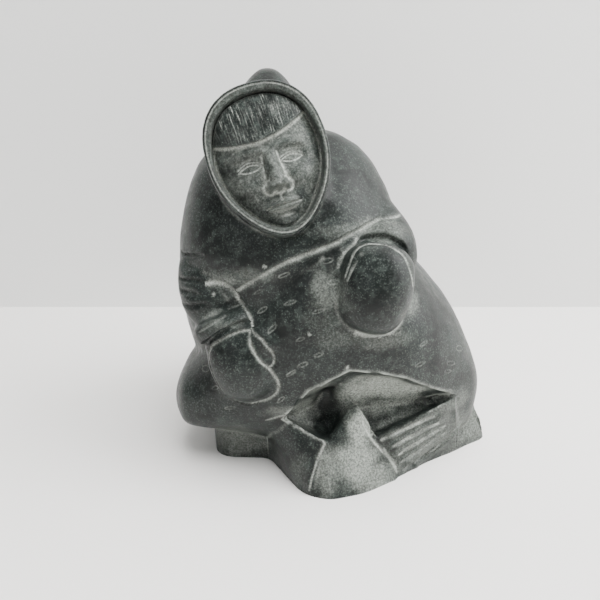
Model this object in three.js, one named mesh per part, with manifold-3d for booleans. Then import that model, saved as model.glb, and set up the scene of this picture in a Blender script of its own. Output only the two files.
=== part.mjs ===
// A seated hunter in a hooded parka, carved from one block of dark soapstone. Both mittens rest on the
// spotted seal that lies across the lap, with its hind flippers spread at the front of the base.
// It is one solid, in millimetres: +Z up, the front towards -Y, the origin on the ground under its middle.

import * as THREE from 'three';
import { ConvexGeometry } from 'three/addons/geometries/ConvexGeometry.js';
import { LoftGeometry } from 'three/addons/geometries/LoftGeometry.js';
import { mergeVertices } from 'three/addons/utils/BufferGeometryUtils.js';
import Module from 'manifold-3d';

// Driving size: from the ground to the peak of the hood. The pose is drawn in hundredths of it.
const HEIGHT = 171;

// Carving tools, in millimetres.
const GROOVE_WIDTH = 2.6;
const GROOVE_DEPTH = 1.5;

const STONE = { color: 0x3b423e, roughness: 0.42, metalness: 0 };

const wasm = await Module();
wasm.setup();

// A point of the drawing, from hundredths of the height.
const at = (x, y, z) => new THREE.Vector3(x, y, z).multiplyScalar(HEIGHT / 100);
const share = (value) => (value * HEIGHT) / 100;

// A closed geometry as a solid whose faces point outwards.
function solid(geometry) {
  const bare = new THREE.BufferGeometry().setAttribute('position', geometry.getAttribute('position'));
  if (geometry.index) bare.setIndex(geometry.index);
  const merged = mergeVertices(bare, 1e-4);
  const triVerts = new Uint32Array(merged.index.array).filter(keepWhole(merged.index.array));
  const vertProperties = merged.getAttribute('position').array;
  const made = new wasm.Manifold(new wasm.Mesh({ numProp: 3, vertProperties, triVerts }));
  if (made.volume() > 0) return made;
  for (let i = 0; i < triVerts.length; i += 3) {
    [triVerts[i + 1], triVerts[i + 2]] = [triVerts[i + 2], triVerts[i + 1]];
  }
  return new wasm.Manifold(new wasm.Mesh({ numProp: 3, vertProperties, triVerts }));
}

// Tells which corners belong to a triangle that still has three different corners after merging.
function keepWhole(index) {
  return (_, corner) => {
    const first = corner - (corner % 3);
    const [a, b, c] = [index[first], index[first + 1], index[first + 2]];
    return a !== b && b !== c && c !== a;
  };
}

// A capped loft through rings of points, with every ring wound the way that the caps need.
function loft(sections) {
  const [first, next] = sections;
  const ahead = new THREE.Vector3();
  first.forEach((point, i) => ahead.add(next[i]).sub(point));
  const winding = new THREE.Vector3();
  first.forEach((point, i) => winding.add(new THREE.Vector3().crossVectors(point, first[(i + 1) % first.length])));
  const wound = winding.dot(ahead) > 0 ? sections : sections.map((section) => [...section].reverse());
  return solid(new LoftGeometry(wound, { capStart: true, capEnd: true }));
}

// A value list that is smoothed between its stations: rows start with the place along the loft.
function smooth(rows) {
  const width = rows[0].length - 1;
  const places = rows.map((row) => row[0]);
  const spline = new THREE.CubicInterpolant(places, rows.flatMap((row) => row.slice(1)), width);
  return (place) => [...spline.evaluate(place)];
}

// One number of a rounded oblong: squareness 2 is an ellipse, and more has fuller corners.
const rounded = (value, squareness) => Math.sign(value) * Math.abs(value) ** (2 / squareness);

// A body lofted through smoothed stations. Each station is its place, then the section's low, widest
// and high bound across, then its front and back. toPoint puts (place, across, depth) into the drawing.
function body(rows, steps, around, squareness, toPoint) {
  const stationAt = smooth(rows);
  const [start, end] = [rows[0][0], rows.at(-1)[0]];
  const sections = [];
  for (let i = 0; i <= steps; i++) {
    const place = start + ((end - start) * (1 - Math.cos((Math.PI * i) / steps))) / 2;
    const [low, widest, high, front, back] = stationAt(place);
    const middle = (front + back) / 2;
    const section = [];
    for (let j = 0; j < around; j++) {
      const angle = (2 * Math.PI * j) / around;
      const side = rounded(Math.sin(angle), squareness);
      const across = widest + side * (side > 0 ? high - widest : widest - low);
      const depth = middle + (rounded(Math.cos(angle), squareness) * (back - front)) / 2;
      section.push(toPoint(place, across, depth));
    }
    sections.push(section);
  }
  return loft(sections);
}

// A limb with round ends along a path. Each row is x, y, z, half width across, half thickness.
function limb(rows, flatTowards, steps, around) {
  const path = new THREE.CatmullRomCurve3(rows.map(([x, y, z]) => at(x, y, z)), false, 'centripetal');
  const sizeAt = smooth(rows.map(([, , , wide, thick], i) => [i / (rows.length - 1), wide, thick]));
  const sections = [];
  for (let i = 0; i <= steps; i++) {
    const angleAlong = (Math.PI * (i + 0.4)) / (steps + 0.8);
    const t = (1 - Math.cos(angleAlong)) / 2;
    const centre = path.getPoint(t);
    const along = path.getTangent(t);
    const across = new THREE.Vector3().crossVectors(along, flatTowards).normalize();
    const out = new THREE.Vector3().crossVectors(across, along).normalize();
    const [wide, thick] = sizeAt(t);
    const closing = Math.min(1, Math.sin(angleAlong) * 1.35) ** 0.6;
    const section = [];
    for (let j = 0; j < around; j++) {
      const angle = (2 * Math.PI * j) / around;
      const point = centre.clone();
      point.addScaledVector(across, share(wide) * closing * Math.cos(angle));
      point.addScaledVector(out, share(thick) * closing * Math.sin(angle));
      section.push(point);
    }
    sections.push(section);
  }
  return loft(sections);
}

// A flat-sided block through its corners, in hundredths of the height.
const block = (corners) => solid(new ConvexGeometry(corners.map(([x, y, z]) => at(x, y, z))));

// The parka from the hips to the shoulders, with the upper arms in it: place is the height, then the
// left edge, the middle, the right edge, the front and the back.
function parka() {
  const levels = [
    [2, -31, -8, 24, -13, 26],
    [12, -35.5, -8, 24, -16, 28],
    [24, -39, -9, 22, -19, 28.8],
    [36, -41.2, -10, 21, -21, 29],
    [48, -41.6, -11, 19, -22.3, 28.5],
    [57, -41.2, -11.5, 17, -23, 27.5],
    [64, -40.2, -12, 15.4, -21.4, 26],
    [70, -38.6, -13, 12.8, -18.4, 23.5],
    [76, -36, -14, 9.8, -14, 20],
    [80.5, -32.5, -15, 5.8, -9, 16],
    [84, -27.5, -16, 0.4, -4, 11],
    [87, -20, -16.5, -12, 0, 4],
  ];
  return body(levels, 18, 32, 2.3, (z, x, y) => at(x, y, z));
}

// The seal and the knees under it, from the figure's right to its left: place is x, then the low,
// fullest and high bound, the front and the back.
function seal() {
  const stations = [
    [-43.6, 13, 15.5, 18, -11, -5],
    [-41.6, 9.4, 15.5, 23, -17, 4],
    [-37, 8, 16, 28, -20.5, 13],
    [-31, 6.5, 19, 36, -22.5, 19],
    [-24, 4, 26, 52, -24.6, 24],
    [-14, 0, 33, 64, -26.8, 27],
    [-4, 0, 37, 69, -28.6, 28.5],
    [6, 0, 37, 66, -28.6, 28],
    [14, 0, 34, 57.4, -26.6, 26],
    [22, 0, 28, 50, -23, 23],
    [29, 0, 23, 42, -18.2, 18],
    [35, 0, 19, 32.6, -13.4, 12],
    [38.8, 4.6, 16.6, 23.4, -9.4, 6],
    [40, 12, 16, 19, -6, 1],
  ];
  return body(stations, 25, 32, 2.4, (x, z, y) => at(x, y, z));
}

function base() {
  const footprint = [
    [-32.7, -15], [-29.5, -16.8], [-17.9, -17.3], [-10, -20], [20, -20], [33.7, -13.7], [38.5, 0],
    [37, 10], [31, 20], [19, 27], [2, 30.3], [-16, 28.6], [-29, 21], [-35, 10], [-35, -2],
  ];
  const outline = new THREE.Shape(footprint.map(([x, y]) => new THREE.Vector2(share(x), share(y))));
  return solid(new THREE.ExtrudeGeometry(outline, { depth: share(9.3), bevelEnabled: false }));
}

// The head looks up a little, leans to its right and turns a little to its left.
const HEAD_CENTRE = at(-16.9, -15.4, 83.4);
const HEAD_TURN = new THREE.Quaternion().setFromEuler(new THREE.Euler(
  THREE.MathUtils.degToRad(-24), THREE.MathUtils.degToRad(-15.5), THREE.MathUtils.degToRad(5), 'ZXY'));

// A point beside the head centre: across, forward out of the face and up, in hundredths of the height.
const onHead = (across, forward, up) => at(across, -forward, up).applyQuaternion(HEAD_TURN).add(HEAD_CENTRE);

// The hood opening is an egg with its small end at the chin and a full crown: its top, its bottom, and
// its half width.
const EGG_TOP = 16.2;
const EGG_CHIN = -19.4;
const EGG_HALF = 13.9;
const eggHalfAt = (up) => {
  const way = Math.min(1, up > 0 ? up / EGG_TOP : up / EGG_CHIN);
  return EGG_HALF * (up > 0 ? (1 - way ** 2.5) ** 0.44 : Math.sqrt(1 - way * way) * (1 - 0.2 * way * way));
};

function eggBody(rings, around) {
  const sections = rings.map(([forward, size, lift]) => {
    const section = [];
    for (let j = 0; j < around; j++) {
      const angle = (2 * Math.PI * (j + 0.5)) / around;
      const up = Math.sin(angle) * (Math.sin(angle) > 0 ? EGG_TOP : -EGG_CHIN);
      const across = -Math.sign(Math.cos(angle)) * eggHalfAt(up);
      section.push(onHead(across * size, forward, up * size + lift));
    }
    return section;
  });
  return loft(sections);
}

const hood = () => eggBody([
  [1.2, 0.97, 0], [0, 1, 0], [-5, 0.995, 0.4], [-10, 0.96, 1.2], [-15, 0.88, 2], [-19, 0.76, 2.6], [-22, 0.6, 3],
  [-24, 0.36, 3],
], 30);
const hoodOpening = () => eggBody([[-4, 0.87, 0], [-1.5, 0.9, 0], [4, 0.93, 0]], 30);

// The front of the head inside the opening is a low dome, lofted from the chin to the crown. Its back
// end is inside the hood.
const DOME = 0.893;
function dome(lift) {
  const [low, high] = [EGG_CHIN * DOME, EGG_TOP * DOME];
  const [levels, across] = [16, 18];
  const sections = [];
  for (let i = 0; i <= levels; i++) {
    const up = (low + high) / 2 - ((high - low) / 2) * Math.cos((Math.PI * (i + 0.35)) / (levels + 0.7));
    const half = eggHalfAt(up / 0.9) * 0.9;
    const section = [];
    for (let j = 0; j <= across; j++) {
      const side = -half * Math.cos((Math.PI * j) / across);
      const bulge = Math.sqrt(Math.max(0, 1 - (side / (half + 0.01)) ** 2)) * Math.min(1, half / 9);
      section.push(onHead(side, -3 + 4.4 * bulge + lift * Math.min(1, bulge * 2), up));
    }
    section.push(onHead(half, -9, up), onHead(-half, -9, up));
    sections.push(section);
  }
  return loft(sections);
}

// A solid that is drawn beside the head centre and then turned with the head.
const withHead = (drawn) => {
  const place = new THREE.Matrix4().compose(HEAD_CENTRE, HEAD_TURN, new THREE.Vector3(1, 1, 1));
  return drawn.transform(place.elements);
};
const mirrored = (drawn) => drawn.add(drawn.mirror([1, 0, 0]));

// The hair lies a step above the forehead, down to the edge of its fringe.
function hair() {
  const edge = [-14, -10, -6, -2, 2, 6, 10, 14];
  const outline = new THREE.Shape(edge.map((side) => new THREE.Vector2(
    share(side), share(2.6 + 0.12 * side + 0.022 * side * side))));
  outline.lineTo(share(15), share(18));
  outline.lineTo(share(-15), share(18));
  const region = new THREE.ExtrudeGeometry(outline, { depth: share(16), bevelEnabled: false });
  region.rotateX(Math.PI / 2).translate(0, share(4), 0);
  return dome(1.1).intersect(withHead(solid(region)));
}

// Brows, nose, eyes, cheeks, lips and chin, each a little above or below the dome.
function face() {
  const nose = block([
    [0, -1.9, 0.8], [-1, -1.2, 0.4], [1, -1.2, 0.4], [0, -4.5, -8], [-0.7, -4.2, -8.2], [0.7, -4.2, -8.2],
    [-2.6, -1.6, -8.3], [2.6, -1.6, -8.3], [-2.3, -1.2, -9.4], [2.3, -1.2, -9.4], [0, -3.4, -9.2], [0, 2, -4],
  ]);
  const brow = limb([[0.6, -0.9, 1], [4.6, -1, 1.9], [8.6, 0.4, 0.2]].map((row) => [...row, 0.9, 0.9]),
    at(0, -1, 0), 8, 8);
  const socket = ball([4.9, -2.7, -2], [3.5, 1.9, 2]);
  const lid = ball([4.9, -0.2, -2.1], [2.4, 1.1, 1.1]);
  const cheek = ball([5.4, 4.3, -6.9], [5.4, 5, 5.2]);
  const upperLip = limb([[-3.9, -0.5, -12.3], [0, -1.3, -11.5], [3.9, -0.5, -12.3]]
    .map((row) => [...row, 0.95, 0.9]), at(0, -1, 0), 8, 8);
  const lowerLip = limb([[-3, -0.5, -13], [0, -1.2, -13.4], [3, -0.5, -13]]
    .map((row) => [...row, 0.9, 0.9]), at(0, -1, 0), 8, 8);
  const chin = ball([0, 2.6, -15.8], [4, 3.1, 2.9]);
  return dome(0).add(withHead(mirrored(cheek).add(chin)))
    .subtract(withHead(mirrored(socket)))
    .add(withHead(mirrored(brow.add(lid)).add(nose).add(upperLip).add(lowerLip)));
}

const ball = (centre, radii, around = 16) => solid(new THREE.SphereGeometry(1, around, Math.ceil(around * 0.6))
  .scale(share(radii[0]), share(radii[1]), share(radii[2])).translate(...at(...centre).toArray()));

// The small peak that stands behind the rim of the hood.
function peak() {
  const rings = [[94.5, 6.4], [97, 5], [98.9, 2.9], [99.75, 1.2]];
  const points = [[-17.9, 4.7, 100]];
  for (const [z, radius] of rings) {
    for (let i = 0; i < 10; i++) {
      const angle = (2 * Math.PI * i) / 10;
      points.push([-17.6 + radius * Math.cos(angle), 4.4 + 1.3 * radius * Math.sin(angle), z]);
    }
  }
  return block(points);
}

const forms = [
  parka(),
  seal(),
  base(),
  // forearm of the figure's right arm, then its cuff, mitten and thumb
  limb([[-33, -2, 57, 7, 8], [-32, -10, 50, 8.8, 8], [-28.5, -17, 42.5, 8.6, 7]], at(0, -1, 0.3), 10, 18),
  limb([[-28.6, -17.5, 44, 8.6, 7.4], [-26.8, -20, 39.5, 8.8, 7.6]], at(0, -1, 0.4), 6, 20),
  limb([[-25.6, -18.5, 41, 7.8, 6], [-23.4, -22.5, 33.5, 8.8, 7.2], [-21.2, -22, 24.5, 7.2, 5.6]], at(0, -1, 0.3), 11, 18),
  limb([[-20.5, -23, 43.5, 2.4, 3.4], [-16.6, -24.4, 38, 2.8, 3.6]], at(0, -1, 0.4), 8, 12),
  // sleeve and mitten of the figure's left arm
  limb([[2, 0, 67, 6.5, 8], [6.8, -3, 62.5, 8.2, 9.4], [9.8, -9, 58, 9.6, 10.2], [8.5, -17, 56.5, 9.8, 10]],
    at(0, 0, 1), 11, 18),
  limb([[9.4, -20, 63.4, 7.2, 7], [7.8, -24.8, 54.2, 8.9, 8], [5.2, -24.8, 44.1, 7.4, 6.2]], at(0, -1, 0.3), 11, 18),
  hood().subtract(hoodOpening()),
  face(),
  hair(),
  ball([-17.6, 0.8, 83.6], [13.2, 16.6, 13.8], 22),
  peak(),
];

// The scoop under the seal's belly, in which the hind flippers stand. Its rim is an arch on the belly, and
// it is deepest at the figure's right.
const ARCH = [[-14, -23.4, 18], [-7.4, -25.9, 28], [2.1, -27.7, 34.2], [9, -26.6, 33.2], [16, -25.3, 30.4],
  [24.5, -21.1, 24], [34, -15, 18]];
const hollow = block([
  ...ARCH, ...ARCH.map(([x, , z]) => [x, -45, z]), [13, -45, 8], [-4, -45, 8],
  [-11, -21.4, 17], [-5.5, -22.6, 25.4], [2.3, -24.2, 31.4], [9, -23.4, 30.4], [15.5, -21.9, 27.8],
  [23, -17.9, 22], [31.4, -13.8, 17.2], [27, -15.8, 14.5], [16, -19.8, 11.5], [9, -22.4, 11], [0, -23.6, 9],
  [-6, -22.6, 10], [13, -26, 10],
]).add(block([
  [-13.2, -24, 17.6], [-7, -25.5, 27], [1.6, -26, 30], [-13.2, -45, 17.6], [-7, -45, 27], [1.6, -45, 30],
  [-6, -18.6, 18], [-3, -18.2, 23.4], [-0.6, -19, 24], [-0.6, -20, 13], [-3, -19.6, 12], [-4, -45, 9], [1, -45, 9],
]));
const flippers = [
  // the block at the figure's right with its crest towards the scoop
  block([[-17.9, -17.3, 0], [-13.6, -23.2, 0], [-9.6, -31, 0], [-6, -33.2, 0], [-18.9, -18.9, 14.9],
    [-13.5, -23.8, 17.8], [-3.9, -29.2, 14.3], [-7.9, -32.2, 2.7], [-12, -18, 15], [-3, -20, 11], [0, -20, 0]]),
  // the middle flipper
  block([[-7.9, -32.4, 0], [-2, -34.2, 0], [7, -31.6, 0], [16.7, -25.6, 0], [5.1, -22.8, 21.2], [3.8, -22.6, 20.8],
    [-3.9, -29.2, 12.4], [1.5, -25.8, 15.8], [2, -16, 17], [10, -14, 0]]),
  // the fan at the figure's left, and the foot behind it
  block([[15, -24, 0], [16.7, -25.9, 0], [28.9, -17.6, 0], [34.4, -13.9, 0], [10.2, -24, 12], [13.4, -24, 13.8],
    [22, -21, 16.6], [31.3, -16.6, 19.2], [12, -14, 10], [20, -10, 10], [37, -5, 5], [36, -5, 14], [34, -12, 17]]),
  block([[33.7, -13.7, 0], [44, -7.6, 0], [38.6, -5.4, 13], [30, -5, 13], [36, 4, 0], [30, -10, 0]]),
];

// The deep cut between the fan and the wall of the scoop above it.
const slit = block([
  [8.2, -19.4, 12.8], [8.6, -19.4, 15.4], [8.2, -28, 13], [8.6, -28, 15.4], [20, -16.4, 15.6], [20, -16.4, 18],
  [20, -24, 16], [20, -24, 18], [31.8, -13.6, 20.4], [31.8, -20, 20.4],
]);

const rough = flippers.reduce((whole, form) => whole.add(form), forms
  .reduce((whole, form) => whole.add(form)).subtract(hollow)).subtract(slit);
const faces = new THREE.Mesh(geometryOf(rough));
const lookIn = new THREE.Raycaster();

// The place on the front of the carving that is straight behind a place of the front view.
function onFront(x, z) {
  lookIn.set(at(x, -80, z), new THREE.Vector3(0, 1, 0));
  const [nearest] = lookIn.intersectObject(faces);
  return nearest.point.divideScalar(HEIGHT / 100);
}

// A gouge drawn along the front through places of the front view. Its widths are in millimetres.
function gouge(line, startWidth = GROOVE_WIDTH, endWidth = startWidth) {
  const rows = line.map(([x, z], i) => {
    const { y } = onFront(x, z);
    const width = THREE.MathUtils.lerp(startWidth, endWidth, i / (line.length - 1));
    const radius = (width / 2 / HEIGHT) * 100;
    const sink = ((GROOVE_DEPTH - GROOVE_WIDTH / 2) / HEIGHT) * 100;
    return [x, y + sink, z, radius, radius];
  });
  return limb(rows, at(0, 0.3, 1), line.length + 3, 6);
}

const gouges = [
  // the edge of the parka above the seal
  gouge([[-24, 52.2], [-20.2, 53.9], [-14.8, 57.2], [-9.6, 60.3], [-4.6, 62.3], [0.8, 64], [6.4, 66.4], [11, 69.6]], 3),
  // folds at the right elbow
  gouge([[-40, 57.2], [-37, 58], [-33.1, 59.6]]),
  gouge([[-40.2, 53.2], [-37, 53.8], [-32.8, 55]]),
  gouge([[-40, 50.2], [-37, 50.8], [-33, 51.8]]),
  gouge([[-39.6, 46.6], [-37, 47.2], [-32.4, 48.2]]),
  // edge of the right sleeve, and the line under its cuff
  gouge([[-32.6, 52.8], [-26.8, 53.6], [-23.3, 49], [-21.2, 45]]),
  gouge([[-33.6, 37], [-30, 39.6], [-26, 41.4], [-21.8, 42.4]], 2),
  // thumb of the left mitten
  gouge([[4.1, 63.5], [1.9, 61], [0.6, 58]], 1.6, 2.4),
  // fan of the flipper
  gouge([[13.4, 12.4], [18.3, 14], [25.4, 15.4]], 1.4, 2.4),
  gouge([[14.4, 10.4], [19.8, 12], [26, 13.6]], 1.4, 2.4),
  gouge([[15.9, 7.8], [21.8, 10], [27.8, 12.2]], 1.4, 2.4),
  gouge([[16.8, 5], [23.4, 7.8], [29.6, 10.6]], 1.4, 2.4),
];

const below = solid(new THREE.BoxGeometry(share(120), share(120), share(20)).translate(0, 0, share(-10)));
const carved = gouges.reduce((whole, cut) => whole.subtract(cut), rough).subtract(below);

// The finished stone stands with the middle of its bounds over the origin.
const { min, max } = carved.boundingBox();
const finished = carved.translate([-(min[0] + max[0]) / 2, -(min[1] + max[1]) / 2, -min[2]]);

function geometryOf(manifold) {
  const { numProp, vertProperties, triVerts } = manifold.getMesh();
  const count = vertProperties.length / numProp;
  const positions = new Float32Array(count * 3);
  for (let i = 0; i < count; i++) positions.set(vertProperties.subarray(i * numProp, i * numProp + 3), i * 3);
  const geometry = new THREE.BufferGeometry().setAttribute('position', new THREE.BufferAttribute(positions, 3));
  return geometry.setIndex(new THREE.BufferAttribute(triVerts, 1));
}

const sculpture = new THREE.Mesh(geometryOf(finished), new THREE.MeshStandardMaterial(STONE));
sculpture.name = 'hunter_carving';

const group = new THREE.Group();
group.add(sculpture);
export default group;
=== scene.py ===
import bmesh
import bpy
import math
import numpy as np
from mathutils import Euler, Matrix, Vector, kdtree, noise
from mathutils.bvhtree import BVHTree


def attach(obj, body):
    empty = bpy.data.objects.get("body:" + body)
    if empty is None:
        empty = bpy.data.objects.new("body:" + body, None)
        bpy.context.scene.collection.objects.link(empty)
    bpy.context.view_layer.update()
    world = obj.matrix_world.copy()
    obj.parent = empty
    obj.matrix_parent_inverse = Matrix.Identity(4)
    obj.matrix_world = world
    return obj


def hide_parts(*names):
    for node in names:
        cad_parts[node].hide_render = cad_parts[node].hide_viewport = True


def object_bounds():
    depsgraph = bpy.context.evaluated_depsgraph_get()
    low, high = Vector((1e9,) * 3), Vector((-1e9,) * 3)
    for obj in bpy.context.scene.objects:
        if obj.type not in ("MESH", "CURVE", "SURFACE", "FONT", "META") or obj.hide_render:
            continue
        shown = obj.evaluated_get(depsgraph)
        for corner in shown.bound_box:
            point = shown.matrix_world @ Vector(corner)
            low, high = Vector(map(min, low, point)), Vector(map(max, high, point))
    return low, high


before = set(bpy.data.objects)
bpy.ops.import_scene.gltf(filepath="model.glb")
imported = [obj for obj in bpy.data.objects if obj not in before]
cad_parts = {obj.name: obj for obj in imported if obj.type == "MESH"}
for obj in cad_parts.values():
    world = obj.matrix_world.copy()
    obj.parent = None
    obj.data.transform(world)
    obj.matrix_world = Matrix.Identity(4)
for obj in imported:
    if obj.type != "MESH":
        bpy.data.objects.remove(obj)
cad_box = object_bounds()

# The carving is drawn in hundredths of its height, in metres, over the middle of its footprint.
HEIGHT = 0.171
SHARE = HEIGHT / 100
MIDDLE = np.array([-0.000342, 0.0033345, 0.0])


def at(x, y, z):
    return Vector((x * SHARE + MIDDLE[0], y * SHARE + MIDDLE[1], z * SHARE))


# The stone's grain of vertices on the plain forms, in metres. It is halved within a reach of everything
# that is carved, and once more within a smaller reach of the fine lines and the crisp edges.
BLOCK_GRAIN = 0.0016
CARVED_REACH = 0.002
LINE_REACH = 0.0014
EDGE_REACH = 0.0008
FACE_GRAIN = 0.00028

# How often the block is rubbed over, and how far it swells out again each time.
RUBS = 66
SWELL = 0.52

# The corners of the base are worn over this length of their outline, this far in and this far up.
WORN_LENGTH = 0.0048
WORN_INWARDS = 0.009
WORN_UP = 0.02

# The head looks up a little, leans to its right and turns a little to its left.
HEAD_CENTRE = np.array(at(-16.9, -15.4, 83.4))
HEAD_AXES = np.array(Matrix.Rotation(math.radians(5), 3, "Z") @ Matrix.Rotation(math.radians(-24), 3, "X")
                     @ Matrix.Rotation(math.radians(-15.5), 3, "Y"))
EGG_TOP, EGG_CHIN, EGG_HALF = 16.2, -19.4, 13.9


def clamp(values):
    return np.clip(values, 0.0, 1.0)


def ease(values, low, high):
    """0 below low, 1 above high, and a smooth step between."""
    way = clamp((values - low) / (high - low))
    return way * way * (3 - 2 * way)


def hill(distance, radius):
    """1 at no distance and 0 from the radius on, with a round top and soft foot."""
    return (np.cos(np.pi * clamp(np.abs(distance) / radius)) + 1) / 2


def smooth_noise(points, size, seed):
    """Soft noise from -1 to 1 whose lumps are about size metres across."""
    shift = Vector((seed * 7.31, seed * 3.77, seed * 5.13))
    return np.array([noise.noise(Vector(p) / size + shift) for p in points])


# Mesh helpers.
def mesh_points(mesh):
    points = np.empty(len(mesh.vertices) * 3)
    mesh.vertices.foreach_get("co", points)
    return points.reshape(-1, 3)


def move_points(mesh, points):
    mesh.vertices.foreach_set("co", np.ascontiguousarray(points).ravel())
    mesh.update()


def mesh_normals(mesh):
    normals = np.empty(len(mesh.vertices) * 3)
    mesh.vertex_normals.foreach_get("vector", normals)
    return normals.reshape(-1, 3)


def edge_ends(mesh):
    ends = np.empty(len(mesh.edges) * 2, dtype=np.int64)
    mesh.edges.foreach_get("vertices", ends)
    return ends.reshape(-1, 2)


def rub(points, ends, strength, passes, swell=0.0):
    """Rubs a surface smooth: each pass moves every point towards its neighbours by its own strength.
    A swell lets it out again after every pass, so that the forms keep their size."""
    count = len(points)
    first, second = ends[:, 0], ends[:, 1]
    valence = np.bincount(ends.ravel(), minlength=count).astype(float)[:, None]
    steps = [strength[:, None] * 0.5] + ([strength[:, None] * -swell] if swell else [])
    for _ in range(passes):
        for weight in steps:
            total = np.empty_like(points)
            for axis in range(points.shape[1]):
                total[:, axis] = (np.bincount(first, points[second, axis], count)
                                  + np.bincount(second, points[first, axis], count))
            points = points + weight * (total / valence - points)
    return points


def hollowness(points, normals, ends, passes):
    """How far the surface lies under its own smoothed self, in metres: more than 0 in hollows."""
    smoothed = rub(points, ends, np.ones(len(points)), passes)
    return np.einsum("ij,ij->i", smoothed - points, normals)


def new_piece(name, mesh):
    piece = bpy.data.objects.new(name, mesh)
    bpy.context.scene.collection.objects.link(piece)
    return piece


def finished_mesh(piece):
    """The mesh that the piece's modifiers give, with the modifiers used up."""
    graph = bpy.context.evaluated_depsgraph_get()
    mesh = bpy.data.meshes.new_from_object(piece.evaluated_get(graph))
    piece.modifiers.clear()
    piece.data = mesh
    return mesh


def keep_value(mesh, name, values):
    """Stores one number per point for the material."""
    stored = mesh.attributes.new(name, "FLOAT", "POINT").data
    stored.foreach_set("value", np.asarray(values, dtype=np.float32))


class Line:
    """Points along lines on the stone, with the distance from any other point to them."""

    def __init__(self, points):
        self.points = np.array(points)
        self.tree = kdtree.KDTree(len(points))
        for number, point in enumerate(points):
            self.tree.insert(point, number)
        self.tree.balance()

    def near(self, points, reach):
        """The numbers of the points within reach, their distances, and the numbers of their line points."""
        low, high = self.points.min(axis=0) - reach, self.points.max(axis=0) + reach
        numbers = np.nonzero(np.all((points > low) & (points < high), axis=1))[0]
        found = [self.tree.find(points[i]) for i in numbers]
        distance = np.array([f[2] for f in found])
        nearest = np.array([f[1] for f in found], dtype=int)
        keep = distance < reach
        return numbers[keep], distance[keep], nearest[keep]

    def distance(self, points, reach):
        """The distance to every point, with the reach for all that are farther."""
        far = np.full(len(points), float(reach))
        numbers, distance, _ = self.near(points, reach)
        far[numbers] = distance
        return far


def curve_through(places, step):
    """Evenly spaced points on a smooth curve through the places."""
    places = [Vector(p) for p in places]
    ends = [places[0] * 2 - places[1]] + places + [places[-1] * 2 - places[-2]]
    dense = []
    for a, b, c, d in zip(ends, ends[1:], ends[2:], ends[3:]):
        for i in range(24):
            t = i / 24
            dense.append(0.5 * (2 * b + (c - a) * t + (2 * a - 5 * b + 4 * c - d) * t * t
                                + (3 * b - a - 3 * c + d) * t ** 3))
    dense.append(places[-1])
    spaced, left = [dense[0]], step
    for a, b in zip(dense, dense[1:]):
        length = (b - a).length
        while length >= left > 0:
            a = a + (b - a) * (left / length)
            spaced.append(a)
            length, left = (b - a).length, step
        left -= length
    return spaced


# The head frame.
def on_head(points):
    """Points seen from the head: across, forward out of the face and up, in hundredths."""
    seen = (points - HEAD_CENTRE) @ HEAD_AXES / SHARE
    return seen * np.array([1, -1, 1])


def from_head(seen):
    return (seen * np.array([1, -1, 1]) * SHARE) @ HEAD_AXES.T + HEAD_CENTRE


def egg_half(up):
    """Half the width of the hood's opening at a height beside the head's centre."""
    way = np.minimum(1, np.where(up > 0, up / EGG_TOP, up / EGG_CHIN))
    crown = (1 - way ** 2.5) ** 0.44
    return EGG_HALF * np.where(up > 0, crown, np.sqrt(1 - way * way) * (1 - 0.2 * way * way))


def egg_ratio(across, up):
    """0 at the middle of the hood's opening and 1 at its rim, along any ray from the middle."""
    low, high = np.zeros_like(up), np.full_like(up, 3.0)
    for _ in range(20):
        middle = np.maximum((low + high) / 2, 1e-6)
        small_up = up / middle
        outside = (small_up > EGG_TOP) | (small_up < EGG_CHIN)
        outside |= np.abs(across) / middle > egg_half(np.clip(small_up, EGG_CHIN, EGG_TOP))
        low = np.where(outside, middle, low)
        high = np.where(outside, high, middle)
    return high


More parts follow.
